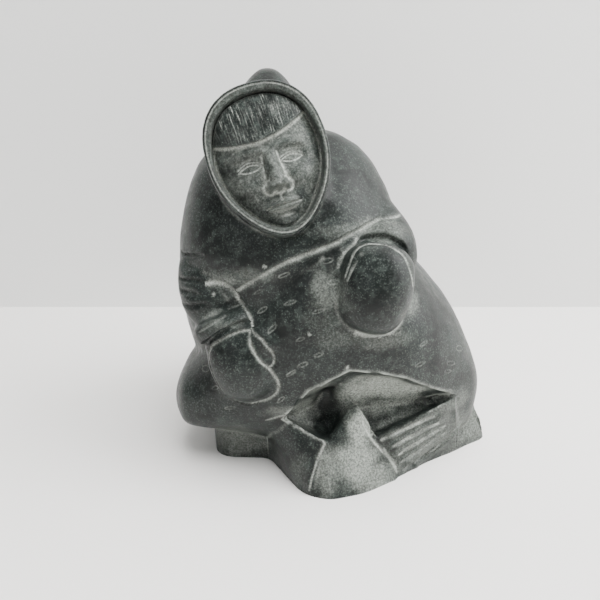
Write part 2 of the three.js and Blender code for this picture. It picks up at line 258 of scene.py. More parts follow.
# Lines cut with the gouge along the front, each as its width and depth in millimetres, how much pale
# dust it holds, and its places across and up, in hundredths. Where the front view can't show a place, it
# is given as across, deep and up.
CUT_LINES = [
    # the edge of the parka above the seal, then its side over the sleeve
    (2.8, 0.9, 0.8, [(-24.6, 51.9), (-20.2, 54.8), (-14.6, 58.6), (-10, 60.7), (-5.5, 62.2), (-1.7, 63.4),
                     (1.7, 64.8), (5.3, 65.9), (8.8, 67.2), (10.4, 67.5), (12.6, 67.4), (15, 66.9)]),
    # folds at the right elbow
    (2.6, 1.1, 0.0, [(-39.8, 56.8), (-36.8, 57.6), (-34.6, 58.5), (-32.6, 59.3)]),
    (4.8, 0.8, 0.0, [(-39.4, 54.6), (-36.5, 55.4), (-34.4, 55.5)]),
    (3.2, 1.3, 0.0, [(-39.6, 51.9), (-36.4, 52.7), (-34, 52.8), (-32.6, 52.4)]),
    (4.0, 1.2, 0.0, [(-39.4, 49.4), (-36.3, 50), (-33.6, 49.8)]),
    (3.2, 1.1, 0.0, [(-39, 46), (-35.6, 47.1), (-32.4, 48.2)]),
    # under the rim of the right sleeve and down beside the wrist
    (4.0, 0.8, 0.95, [(-32.4, 52.5), (-30.4, 52.9), (-28.5, 52.9), (-26.7, 52.3), (-25.2, 50.9),
                      (-24.3, 49.3)]),
    (2.2, 0.8, 0.8, [(-24.6, 49.8), (-23, 47.8), (-21.7, 46), (-20.9, 43.9)]),
    # both edges of the cuff's band, with a deeper cut under it
    (1.6, 0.6, 0.35, [(-33.6, 42.6), (-30.7, 44.9), (-28.4, 46.2), (-25.6, 47.6), (-23.6, 48.4)]),
    (3.2, 1.7, 0.0, [(-33.6, 36.8), (-31.8, 39.8), (-29.4, 42.2), (-27, 43.8), (-24.5, 44.8), (-21.2, 44.8)]),
    # outline of the right mitten: over its top, down the thumb's side, up its other side, and its thumb
    (1.8, 0.6, 0.75, [(-31.6, 35.4), (-31.8, 36.4), (-31.1, 38.3), (-30, 39.6), (-27.2, 41.7), (-24.2, 42.8),
                      (-21.4, 43)]),
    (1.9, 0.7, 0.85, [(-21.6, 43), (-21.4, 40.6), (-20.4, 38.6), (-18.9, 36.3), (-17.2, 34.4), (-16, 32.2),
                      (-15, 29.9), (-15, 27.6), (-16.2, 25.6), (-18.9, 23.8), (-22, 22.8)]),
    (1.8, 0.6, 0.35, [(-21, 23), (-23.6, 22.6), (-26.6, 24), (-29, 28), (-30.8, 32), (-31.7, 35.6)]),
    (1.6, 0.6, 0.75, [(-21.2, 43.4), (-18.6, 41.8), (-16.6, 38.8), (-15.8, 36.7), (-16.2, 35),
                      (-17.4, 34.6)]),
    # the left sleeve's rim beside the mitten, the top of the mitten in it and the dark gap above
    (2.6, 0.3, 0.6, [(-0.8, -23.1, 58.6), (0.3, -21.4, 60.2), (1.5, -20.2, 61.4), (3.1, -18.8, 62.8),
                     (3.7, -17.6, 64.2)]),
    (1.6, 0.4, 0.85, [(0.7, -27.2, 58), (1.3, -26.5, 60.2), (2.2, -25.7, 62.3), (3.4, -24.4, 63.8),
                      (5.9, -23.8, 64.9), (7.8, -24.3, 65.1), (9.7, -24.7, 65), (11.7, -25.8, 64.3),
                      (13.3, -26.3, 63.2), (14.3, -27.1, 61.8), (15, -27.5, 59.9), (15.6, -27.5, 57.8),
                      (15.8, -27.7, 56.1)]),
    (3.4, 1.5, 0.0, [(3.6, -18.6, 62.9), (5.5, -17.1, 63.4), (7.6, -16.5, 63.7), (9.9, -16.8, 64),
                     (11.9, -17, 63.4), (14, -17.1, 62.2), (15.6, -17.1, 60.4)]),
    (1.6, 0.5, 0.6, [(0.9, 57.6), (1.8, 59.8), (3.1, 62)]),
    # the grooves of the flipper fan
    (2.4, 1.1, 0.95, [(11.5, 11.2), (15.2, 12.7), (18.7, 13.8), (22.2, 14.7), (25.8, 15.4)]),
    (2.4, 1.1, 0.95, [(14.6, 9.4), (18, 10.6), (22.3, 11.9), (27.1, 12.9)]),
    (2.4, 1.1, 0.95, [(15.9, 6.9), (19.5, 8.2), (23.9, 9.6), (29.4, 10.8)]),
    (2.4, 1.0, 0.85, [(17.6, 4.2), (21.2, 5.5), (25.4, 6.8), (29.4, 8.1)]),
    # the low ridges between them are undercut once more, and the fan ends in a soft edge over the foot
    (3.2, 0.9, 0.0, [(13.2, 10.2), (16.8, 11.7), (21.6, 13.3), (26.8, 14.3)]),
    (3.2, 0.9, 0.0, [(15.4, 8.1), (19, 9.5), (23.6, 10.8), (28.6, 11.9)]),
    (3.2, 0.9, 0.0, [(16.8, 5.5), (20.4, 6.9), (25, 8.3), (29.6, 9.5)]),
    # the crisp edge of the middle flipper and of the dark facet beside it
    (1.7, 0.3, 0.95, [(5.2, -19, 18.8), (5.8, -21.6, 18.3), (6.2, -23.7, 17.2), (8.3, -24.8, 12.8),
                      (11.2, -24.9, 8.8), (14.7, -25.3, 4.9), (16, -25.7, 1.2)]),
    (1.5, 0.2, 0.7, [(-18.2, -24.2, 17.4), (-13.6, -25.4, 19.6)]),
    (1.7, 0.2, 0.85, [(-13.6, -25.6, 19.4), (-10, -26.2, 16.4), (-6.4, -27.8, 14.8), (-3.7, -28.2, 13.5),
                      (-5.1, -30.4, 9.8), (-6.4, -31.4, 5.8), (-7.6, -32, 1.4)]),
    (3.6, 1.5, 0.3, [(18.6, 1.4), (23, 2.4), (27.6, 3.9), (31.6, 6.3), (34.4, 8.6)]),
]

# Joins of the solid that are rubbed away, because one form runs into the next: across and up.
RUBBED_AWAY = [
    [(-24, 44), (-17, 49.6), (-8, 54.6), (0, 57.4)],
    [(-20, 46.6), (-17, 43.6), (-14.6, 40), (-14.6, 36)],
    [(-4.6, 11), (-1, 14.4), (2, 18), (3.4, 21)],
    [(-9, 22), (-4, 27), (-1, 22), (-1, 16)],
    [(-37, 46), (-36.4, 42.8), (-35.6, 40), (-34.6, 37)],
]

# The small oval marks on the seal's skin: across, up, and the tilt of their length in degrees.
SEAL_MARKS = [
    (-3.3, 60, 8), (-13.4, 56.5, 24), (-19.5, 52, 32), (-18.6, 47.5, 38), (-16.2, 43.9, 42), (-9.6, 42.1, 26),
    (-5.4, 49.3, 20), (-2, 55.9, 16), (-5.2, 38.6, 24), (-11.8, 32.9, 40), (7, 40.6, 16), (13.7, 43.3, 20),
    (32.1, 32, -40), (28.3, 28.2, -24), (29.3, 29.9, -28), (-34.2, 28, 30), (-31.2, 25.2, 34),
    (-27.4, 20.4, 12), (28.9, 22, -8), (-14.4, 24.7, 50), (-12, 50.4, 24), (20.6, 38.4, 4), (-9, 35.6, 30),
    (20, 33.4, 6),
]

# Small chips that show the pale stone: across, up and their radius in millimetres.
CHIPS = [(-17.8, 58.4, 0.8), (-7.3, 43.6, 1.0), (1.6, 35.3, 1.1), (-30.6, 50.4, 0.8), (20.2, 43.8, 0.6)]


# The block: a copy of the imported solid, merged, then given an even grain.
def copy_of_block():
    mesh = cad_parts["hunter_carving"].data.copy()
    tidy = bmesh.new()
    tidy.from_mesh(mesh)
    bmesh.ops.remove_doubles(tidy, verts=tidy.verts, dist=1e-6)
    tidy.to_mesh(mesh)
    tree = BVHTree.FromBMesh(tidy)
    tidy.free()
    return mesh, tree


def front_distance(points, lines, reach):
    """The distance in the front view to any of the lines, for points in metres."""
    flat = []
    for line in lines:
        flat += curve_through([at(x, 0, z) for x, z in line], 0.0008)
    drawn = Line([Vector((p.x, 0, p.z)) for p in flat])
    return drawn.distance(points * np.array([1, 0, 1]), reach)


def sharp_edges(mesh):
    """Points along the edges where the solid turns sharply, with the way that each one turns."""
    edges = bmesh.new()
    edges.from_mesh(mesh)
    found = []
    for edge in edges.edges:
        if len(edge.link_faces) != 2:
            continue
        turn = edge.calc_face_angle_signed(0.0)
        if abs(turn) < math.radians(27):
            continue
        a, b = edge.verts[0].co, edge.verts[1].co
        count = max(1, int((b - a).length / 0.0004))
        found += [(*a.lerp(b, i / count), turn) for i in range(count + 1)]
    edges.free()
    return np.array(found)


cad, cad_tree = copy_of_block()
sharp = sharp_edges(cad)
places = sharp[:, :3]
on_plain = [line for _, _, _, line in CUT_LINES if len(line[0]) == 2]
tool_marks = (front_distance(places, on_plain, 0.0034) < 0.0034) & (places[:, 1] < 0.01)
tool_marks |= (front_distance(places, RUBBED_AWAY, 0.004) < 0.004) & (places[:, 1] < 0.01)


def in_flippers(points):
    """True around the hollow under the seal and the flippers in it, whose edges stay crisp."""
    seen = (points - MIDDLE) / SHARE
    across, deep, up = seen[:, 0], seen[:, 1], seen[:, 2]
    before_seal = deep < np.minimum(-4, -17 + 0.55 * np.maximum(0, across - 18))
    return (up < 37) & (across > -19.5) & (across < 46) & before_seal


def in_scoop(points):
    """True deep in the scoop, where its walls run softly into each other."""
    seen = (points - MIDDLE) / SHARE
    return (seen[:, 0] > -12.5) & (seen[:, 0] < 8) & (seen[:, 1] > -22.9) & (seen[:, 2] > 9)


crisp = (in_flippers(places) & ~in_scoop(places) & ~tool_marks) | (places[:, 2] < 0.002)
crisp_edges = Line(places[crisp])
soft = ~crisp & ~tool_marks
soft_creases = Line(places[soft & (sharp[:, 3] < 0)])
soft_ridges = Line(places[soft & (sharp[:, 3] > 0)])
flipper_creases = Line(places[crisp & (sharp[:, 3] < 0) & (places[:, 2] > 0.004)])
flipper_ridges = Line(places[crisp & (sharp[:, 3] > 0)])
ground_edge = Line(places[(sharp[:, 3] > 0) & (places[:, 2] < 0.0004)])

body = new_piece("carved_stone", cad)
grain = body.modifiers.new("grain", "REMESH")
grain.mode = "VOXEL"
grain.voxel_size = BLOCK_GRAIN
stone = finished_mesh(body)
points = mesh_points(stone)

# The stone inside the hood goes back behind the face and the hood's rim, which are a finer piece.
seen = on_head(points)
inside = egg_ratio(seen[:, 0], seen[:, 2])
sunk = (inside < 1.02) & (seen[:, 1] > -9) & (seen[:, 1] < 9)
floor_of_hood = -5.6 + 3.0 * ease(inside, 0.86, 0.96)
seen[sunk, 1] = np.minimum(seen[sunk, 1], floor_of_hood[sunk])
points = from_head(seen)

# Rub the block: hard on the plain forms, a little where two forms meet, not at all at the crisp edges.
ends = edge_ends(stone)
crisp_far = crisp_edges.distance(points, 0.006)
soft_far = np.minimum(soft_creases.distance(points, 0.006), soft_ridges.distance(points, 0.006))
strength = np.minimum(ease(crisp_far, 0.0008, 0.0045), 0.16 + 0.84 * ease(soft_far, 0.0006, 0.005))
seen = on_head(points)
inside = egg_ratio(seen[:, 0], seen[:, 2])
rim_of_hood = (np.abs(inside - 1.0) < 0.13) & (seen[:, 1] > -4) & (seen[:, 1] < 7)
strength = np.where(rim_of_hood, 0.8, strength) * ease(points[:, 2], 0.0006, 0.003)
points = rub(points, ends, strength, RUBS, SWELL)
move_points(stone, points)


def refined(mesh, chosen):
    """Halves the grain of the faces with a chosen point."""
    edit = bmesh.new()
    edit.from_mesh(mesh)
    edges = {edge for face in edit.faces if any(chosen[v.index] for v in face.verts) for edge in face.edges}
    bmesh.ops.subdivide_edges(edit, edges=list(edges), cuts=1, use_grid_fill=True, use_single_edge=True)
    edit.to_mesh(mesh)
    edit.free()
    return mesh_points(mesh), edge_ends(mesh)


def surface_tree(mesh):
    shape = bmesh.new()
    shape.from_mesh(mesh)
    tree = BVHTree.FromBMesh(shape)
    shape.free()
    return tree


# Draw the lines on the rubbed block, as seen from the front.
tree = surface_tree(stone)


def on_front(x, z):
    """The place on the stone straight behind a place of the front view, in metres."""
    place, _, _, _ = tree.ray_cast(Vector((x, -0.2, z)), Vector((0, 1, 0)))
    return place


cut_points, cut_settings = [], []
for width, depth, dust, line in CUT_LINES:
    deep = len(line[0]) == 3
    drawn = curve_through([at(*place) if deep else at(place[0], 0, place[1]) for place in line], 0.0004)
    for number, point in enumerate(drawn):
        place = tree.find_nearest(point)[0] if deep else on_front(point.x, point.z)
        if place is None:
            continue
        from_end = min(number, len(drawn) - 1 - number) * 0.4
        fade = min(1, 0.25 + from_end / 3.5)
        cut_points.append(place)
        cut_settings.append((width * (0.6 + 0.4 * fade) / 2000, depth * fade / 1000, dust))
cuts = Line(cut_points)
cut_settings = np.array(cut_settings)

# Each oval mark is two short bowed strokes with a gap between them at both ends.
mark_points = []
for number, (x, z, tilt) in enumerate(SEAL_MARKS):
    length = 2.1 + 0.35 * math.sin(number * 2.3)
    half_width = 0.72 + 0.12 * math.cos(number * 1.7)
    lean = math.radians(tilt)
    for side in (-1, 1):
        for i in range(22):
            way = -1 + 2 * i / 21
            along, off = length * way, side * half_width * (1 - way * way) ** 0.5
            across = (along * math.cos(lean) - off * math.sin(lean)) / 1000
            rise = (along * math.sin(lean) + off * math.cos(lean)) / 1000
            middle = at(x, 0, z)
            place = on_front(middle.x + across + side * 0.0001, middle.z + rise)
            if place is not None:
                mark_points.append(place)
marks = Line(mark_points)

chip_places = [(on_front(at(x, 0, z).x, at(x, 0, z).z), radius / 1000) for x, z, radius in CHIPS]

# Halve the grain along everything that is carved, and once more at the fine lines and crisp edges.
lines_far = np.minimum(cuts.distance(points, 0.006), marks.distance(points, 0.006))
edges_far = np.minimum(crisp_edges.distance(points, 0.006), soft_creases.distance(points, 0.006))
points, ends = refined(stone, np.minimum(lines_far, edges_far) < CARVED_REACH)
strength = ease(crisp_edges.distance(points, 0.004), 0.0006, 0.002) * ease(points[:, 2], 0.0002, 0.001)
points = rub(points, ends, strength, 2)
move_points(stone, points)
lines_far = np.minimum(cuts.distance(points, 0.004), marks.distance(points, 0.004))
off_table = points[:, 2] > 0.0015
at_edge = (crisp_edges.distance(points, 0.004) < EDGE_REACH) & off_table
points, ends = refined(stone, (lines_far < LINE_REACH) | at_edge)

# Bring the crisp edges back to the solid's own edges, then round them by a hair.
edge_numbers, edge_far, edge_nearest = crisp_edges.near(points, 0.0026)
for number, far, nearest in zip(edge_numbers, edge_far, edge_nearest):
    share = 1 - float(ease(far, 0.0009, 0.0026))
    target = cad_tree.find_nearest(Vector(points[number]))[0]
    if far < 0.0003:
        target = Vector(crisp_edges.points[nearest])
    points[number] += (np.array(target) - points[number]) * share
low = points[:, 2] < 0.0007
points[low, 2] = 0
numbers, distance, nearest = ground_edge.near(points, 0.0012)
at_foot = low[numbers]
points[numbers[at_foot]] = ground_edge.points[nearest[at_foot]]
crisp_far = crisp_edges.distance(points, 0.004)
points = rub(points, ends, np.where(crisp_far < 0.0012, 0.35, 0.75) * (points[:, 2] > 0), 2)
move_points(stone, points)

# The hand-worked surface: soft swells, the flats of the rasp, and its carved lines.
normals = mesh_normals(stone)
swell = smooth_noise(points, 0.021, 1) * 0.00042 + smooth_noise(points, 0.0075, 2) * 0.00016
swell += smooth_noise(points, 0.0031, 3) * 0.00004
lift = swell * ease(points[:, 2], 0.0002, 0.004) * (0.35 + 0.65 * ease(crisp_far, 0.0003, 0.003))

dust = np.zeros(len(points))
bare = ease(-front_distance(points, RUBBED_AWAY, 0.006), -0.006, -0.004) * (points[:, 1] < 0.01)
numbers, distance, nearest = cuts.near(points, 0.004)
width, depth, line_dust = cut_settings[nearest].T
wobble = 1 + 0.25 * smooth_noise(points[numbers], 0.0022, 4)
groove = hill(distance, width * 1.12 * wobble)
lift[numbers] -= depth * groove
shoulder = hill(distance - width * 1.25, width * 0.6)
lift[numbers] += depth * 0.12 * shoulder
patchy = clamp(0.72 + 0.55 * smooth_noise(points[numbers], 0.0045, 5))
settled = 0.8 * hill(distance, width * 0.8 + 0.0002) + 0.2 * hill(distance, width * 2.0)
dust[numbers] = np.maximum(dust[numbers], line_dust * patchy * settled)
bare[numbers] = np.maximum(bare[numbers], (line_dust < 0.1) * ease(-distance, -0.0038, -0.0028))

numbers, distance, _ = marks.near(points, 0.002)
scored = hill(distance, 0.00042)
lift[numbers] -= 0.00025 * scored
faint = clamp(0.5 + 0.6 * smooth_noise(points[numbers], 0.006, 15))
dust[numbers] = np.maximum(dust[numbers], 0.42 * faint * hill(distance, 0.0005))

for place, radius in chip_places:
    far = np.linalg.norm(points - np.array(place), axis=1)
    chipped = ease(-far, -radius, -radius * 0.4)
    lift -= 0.0004 * chipped
    dust = np.maximum(dust, 0.95 * chipped)

numbers, distance, _ = soft_creases.near(points, 0.005)
broken = clamp(0.65 + 0.6 * smooth_noise(points[numbers], 0.006, 6))
seen = (points[numbers] - MIDDLE) / SHARE
under_mitten = (np.abs(seen[:, 0] - 10.5) < 7.5) & (seen[:, 1] < -14) & (np.abs(seen[:, 2] - 50) < 7)
held = np.where(under_mitten, 1.0, 0.4) * (1 - bare[numbers])
broken = np.where(under_mitten, np.maximum(broken, 0.75), broken)
held *= ((seen[:, 2] < 58) | (seen[:, 0] < 16)) * ease(-seen[:, 1], 8, 16)
settled = hill(distance, np.where(under_mitten, 0.0032, 0.0018))
dust[numbers] = np.maximum(dust[numbers], held * broken * settled)
numbers, distance, _ = flipper_creases.near(points, 0.004)
dust[numbers] = np.maximum(dust[numbers], 0.15 * hill(distance, 0.0016))

worn = np.zeros(len(points))
numbers, distance, _ = flipper_ridges.near(points, 0.003)
seen = (points[numbers] - MIDDLE) / SHARE
behind_rim = seen[:, 1] > -22 + 0.42 * np.maximum(0, seen[:, 0] - 11)
in_hollow = (seen[:, 0] > -12.5) & (seen[:, 0] < 24) & behind_rim & (seen[:, 2] > 7)
high = (points[numbers, 2] > 0.003) & ~in_hollow & (seen[:, 0] < 30)
high &= (seen[:, 0] < -9) | (seen[:, 0] > 2) | (seen[:, 2] > 13.5)
broken = clamp(0.7 + 0.6 * smooth_noise(points[numbers], 0.004, 7))
# the rim of the arch is worn in a broader band than the edges of the flippers
rubbed_rim = np.where(high, broken * hill(distance, np.where(seen[:, 2] > 20, 0.0023, 0.0012)), 0)
worn[numbers] = rubbed_rim
dust[numbers] = np.maximum(dust[numbers], 0.6 * rubbed_rim)

points = np.clip(points + normals * lift[:, None], np.array(cad_box[0]), np.array(cad_box[1]))
move_points(stone, points)

# Powder also settles in every small hollow, and every small hump is rubbed a little paler.
sunken = hollowness(points, mesh_normals(stone), ends, 8)
dust = np.maximum(dust, 0.45 * ease(sunken, 0.00012, 0.0007) * (1 - bare))
worn = np.maximum(worn, 0.4 * ease(-sunken, 0.0001, 0.0006) * (1 - bare))

# Places that were left unpolished, or are worn pale: across, up, half width, half height and how pale.
PALE_PATCHES = [
    # beside the left mitten and under it, then at the right sleeve
    (-3.6, 53.5, 4.4, 6, 0.34), (-4.6, 46, 4, 4, 0.1), (1, 42.6, 8, 3, 0.14), (9, 41.6, 8, 2.4, 0.2),
    (-21.4, 56.2, 6, 1.6, 0.2), (-26.6, 54.2, 5.4, 1.5, 0.4), (16.6, 48, 3, 3.6, 0.3), (1.4, 66, 8, 1.6, 0.2),
    (-28, 44.9, 6, 1.6, 0.2),
    # the fan, the foot and the base at the right hip
    (24, 9, 14, 10, 0.27), (31, 17, 7, 4, 0.28), (39, 5, 7, 8, 0.4), (-27, 6, 9.4, 7.4, 0.3),
    (-14, 20.4, 4, 2.4, 0.3),
]
# Pale places in and around the hollow, as across, deep and up, with half a width each way, and how pale:
# unpolished stone, with painted light on the faces that face the light and on the slit's upper wall in
# shadow.
HOLLOW_PALE_AND_PAINTED_LIGHT = [
    # the scoop under the arch: pale stone, its right-hand part, which faces the light, painted paler than its
    # left-hand part in shade
    (9, -20.5, 25, 8.5, 4.4, 6.4, 0.85), (16.5, -18.5, 22.6, 7.5, 4, 4.2, 0.8), (3.4, -21, 22, 4, 4, 6, 0.45),
    (-8.4, -21.4, 18.6, 3.8, 4, 5, 0.42), (-5.6, -23, 27, 5, 3.4, 4.4, 0.3),
    # the middle flipper's face, which faces the light, and the faces beside and below it: pale stone with
    # painted light
    (5.6, -24.4, 15, 3.4, 6, 6, 0.85), (5.4, -28.6, 7.4, 6.4, 5, 7, 0.68), (9.4, -28.4, 2.6, 7, 5, 4, 0.5),
    (-2.6, -31, 7, 3.2, 4, 7.4, 0.4), (-9, -27.4, 5, 3, 5, 5, 0.14),
    # painted light on the slit's upper wall, which lies in shadow, to make its shadow narrower
    (11.5, -17.6, 17, 4.6, 3, 3.2, 0.5), (18, -16.6, 19.2, 5, 3, 2.4, 0.5),
    # the sleeve over the left mitten
    (10.5, -16.4, 65.4, 8, 4.5, 3, 0.26),
]

seen = (points - MIDDLE) / SHARE
facing = clamp(0.3 - normals[:, 1] * 1.4) * (seen[:, 1] < 2)
broken = smooth_noise(points, 0.0052, 8) + 0.5 * smooth_noise(points, 0.0019, 9)
pale = np.zeros(len(points))
for x, z, half_width, half_height, amount in PALE_PATCHES:
    away = np.hypot((seen[:, 0] - x) / half_width, (seen[:, 2] - z) / half_height)
    pale = np.maximum(pale, amount * ease(1.35 - away + 0.5 * broken, 0.0, 1.2) * facing)
# pale stone and painted light in and around the hollow
for x, y, z, half_width, half_depth, half_height, amount in HOLLOW_PALE_AND_PAINTED_LIGHT:
    away = np.sqrt(((seen[:, 0] - x) / half_width) ** 2 + ((seen[:, 1] - y) / half_depth) ** 2
                   + ((seen[:, 2] - z) / half_height) ** 2)
    pale = np.maximum(pale, amount * ease(1.35 - away + 0.3 * broken, 0.0, 0.9))

# The corners of the base are worn round on the table, less and less higher up.
IN_PLAN = np.array([1, 1, 0])
outline = Line(ground_edge.points * IN_PLAN)
worn_back = []
for place in outline.points:
    beside = [found[0] for found in outline.tree.find_range(place, WORN_LENGTH)]
    worn_back.append(np.mean(beside, axis=0) - place)
worn_back = np.array(worn_back)
low_down = np.nonzero(points[:, 2] < WORN_UP)[0]
numbers, distance, nearest = outline.near(points[low_down] * IN_PLAN, WORN_INWARDS)
numbers = low_down[numbers]
amount = hill(distance, WORN_INWARDS) * (1 - ease(points[numbers, 2], 0.004, WORN_UP))
points[numbers] += worn_back[nearest] * amount[:, None]
move_points(stone, points)

keep_value(stone, "dust", dust)
# the pale places, with the painted light in the hollow
keep_value(stone, "pale", pale)
keep_value(stone, "worn", worn)

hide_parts("hunter_carving")
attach(body, "root")


# The face and hair: a fine low relief set in the opening of the hood, drawn beside the head's centre.
def oval(across, up, centre, radii):
    """1 at the middle of an oval and 0 from its edge on."""
    return hill(np.hypot((across - centre[0]) / radii[0], (up - centre[1]) / radii[1]), 1.0)


def hairline(across):
    return 2.7 + 0.12 * across + 0.024 * across * across


def band_start(up):
    """The ratio at which the inner band of the hood begins: it is wider beside the hair."""
    return 0.868 - 0.034 * ease(up, 0, 7)


def relief(across, up):
    """How far the face stands forward, with the dust that its cuts hold, in hundredths."""
    ratio = egg_ratio(across, up)
    forward = -3.2 + 4.7 * np.sqrt(np.maximum(0, 1 - (ratio / 0.92) ** 2))
    side = np.abs(across)
    skin = 1 - ease(up - hairline(across), -0.25, 0.1)
    dust = np.zeros_like(up)

    # brows over softly hollowed sockets
    brow = 1.0 - 0.05 * (side - 4.4) ** 2
    ridge = hill(up - brow, 1.5) * ease(side, 0.3, 1.8) * (1 - ease(side, 7.6, 10))
    forward += skin * 0.75 * ridge
    socket = oval(side, up, (4.9, -2.3), (4.3, 3.0))
    forward -= skin * 1.45 * socket
    # eyes, lowered under their lids
    forward += 1.15 * oval(side, up, (4.9, -2.5), (3.1, 2.0)) ** 0.8
    way = (side - 4.9) / 2.6
    arc = np.maximum(0, 1 - way * way)
    within = ease(1.12 - np.abs(way), 0, 0.12)
    upper, lower = -2.55 + 0.85 * arc, -2.55 - 0.75 * arc
    fold = hill(up - (upper + 0.62), 0.3) * within
    lash = hill(up - upper, 0.3) * within
    lid = hill(up - lower, 0.26) * within
    between = ease(upper - up, 0, 0.2) * ease(up - lower, 0, 0.2) * within
    forward -= 0.2 * fold + 0.34 * lash + 0.26 * lid + 0.16 * between
    dust = np.maximum(dust, np.maximum(0.8 * lash, np.maximum(0.75 * lid, 0.5 * fold)))

    # cheeks
    forward += 0.95 * oval(side, up, (5.9, -6.4), (4.6, 3.9))
    forward -= 0.5 * oval(side, up, (8.2, -11), (3.6, 4.2))

    # nose: a straight bridge, a rounded tip and two wings
    way = clamp((0.6 - up) / 8.4)
    height = (0.85 + 2.5 * way ** 1.15) * ease(up, -9.5, -7.9) * (1 - ease(up, -0.4, 2.2))
    half = 1.5 + 1.05 * way
    forward += height * np.maximum(0, 1 - (side / half) ** 2) ** 0.75
    forward += 0.5 * oval(side, up, (0, -7.9), (1.5, 1.5))
    forward += 1.5 * oval(side, up, (1.95, -7.9), (1.35, 1.4)) ** 0.75
    forward -= 0.7 * oval(side, up, (1.1, -9.0), (0.72, 0.5))
    foot = hill(side - half - 0.3, 0.95) * ease(up, -8.8, -7.0) * (1 - ease(up, -6, -2))
    around_wing = hill(np.hypot((side - 1.95) / 1.45, (up + 7.9) / 1.5) - 1.05, 0.32) * (side > 1.6)
    forward -= 0.16 * around_wing
    dust = np.maximum(dust, np.maximum(0.3 * foot, 0.6 * around_wing))
    dust = np.maximum(dust, 0.6 * oval(side, up, (1.1, -9.1), (0.9, 0.6)))

    # mouth: two calm lips with a straight parting, a groove above and a hollow below
    forward += 0.8 * oval(side, up, (0, -12.2), (5.6, 3.6))
    forward -= 0.22 * hill(side, 0.6) * ease(up, -11.3, -10.8) * (1 - ease(up, -10, -9.5))
    top_edge = -11.25 - 0.022 * side ** 2 + 0.16 * hill(side - 0.95, 0.8) - 0.1 * hill(side, 0.5)
    parting = -12.25 + 0.004 * side ** 2
    bottom_edge = -13.55 + 0.075 * side ** 2
    in_mouth = 1 - ease(side, 3.4, 4.1)
    upper_lip = ease(top_edge - up, -0.15, 0.25) * ease(up - parting, -0.05, 0.3) * in_mouth
    lower_lip = ease(parting - up, -0.05, 0.35) * ease(up - bottom_edge, -0.15, 0.45) * in_mouth
    forward += 0.5 * upper_lip + 0.75 * lower_lip
    parted = hill(up - parting, 0.34) * (1 - ease(side, 3.7, 4.5))
    forward -= 0.5 * parted
    forward -= 0.4 * oval(side, up, (0, -14.5), (3.0, 0.9))
    dust = np.maximum(dust, 0.9 * parted)
    dust = np.maximum(dust, 0.3 * hill(up - bottom_edge, 0.5) * in_mouth)

    # chin
    forward += 1.0 * oval(side, up, (0, -16.3), (3.9, 2.6))

    # the hair lies a step above the forehead
    line_far = up - hairline(across)
    forward += 1.2 * ease(line_far, -0.1, 0.42)
    dust = np.maximum(dust, 0.9 * hill(line_far + 0.1, 0.5))
    return forward, dust, ratio, line_far


def hair_cut(across, up, line_far, ratio):
    """How deep the combed strokes in the hair are at each point, from 0 to 1."""
    leaned = across * (1 - 0.012 * (up - 6)) + 0.05 * np.sin(up * 1.3 + across * 2.0)
    strokes = 0.5 + 0.5 * np.cos(leaned * 2 * np.pi / 0.56)
    uneven = 0.55 + 0.45 * np.sin(across * 2.9 + np.sin(up * 1.1 + across) * 1.6)
    return strokes * uneven * ease(line_far, 0.5, 1.2) * (ratio < band_start(up) - 0.012)


def face_surface(across, up):
    """The whole relief, with the strokes in the hair and the hood's rim around it."""
    forward, dust, ratio, line_far = relief(across, up)
    strokes = hair_cut(across, up, line_far, ratio)
    forward -= 0.12 * strokes
    dust = np.maximum(dust, 0.06 * strokes)
    edge = band_start(up)
    in_band = ease(ratio, edge, edge + 0.012)
    rim = -1.25 + 2.35 * ease(ratio, edge + 0.012, edge + 0.042) + 0.1 * ease(ratio, 0.9, 0.95)
    rim -= 0.42 * (1 - np.sqrt(1 - clamp((ratio - 0.97) / 0.03) ** 2))
    rim -= 0.2 * hill(ratio - 0.952, 0.016)
    forward = forward * (1 - in_band) + rim * in_band
    forward -= 0.4 * hill(ratio - edge, 0.02)
    dust = np.maximum(dust * (1 - in_band), 0.4 * hill(ratio - edge, 0.02))
    dust = np.maximum(dust, 0.6 * hill(ratio - 0.952, 0.016))
    return forward, dust, ratio, line_far, in_band


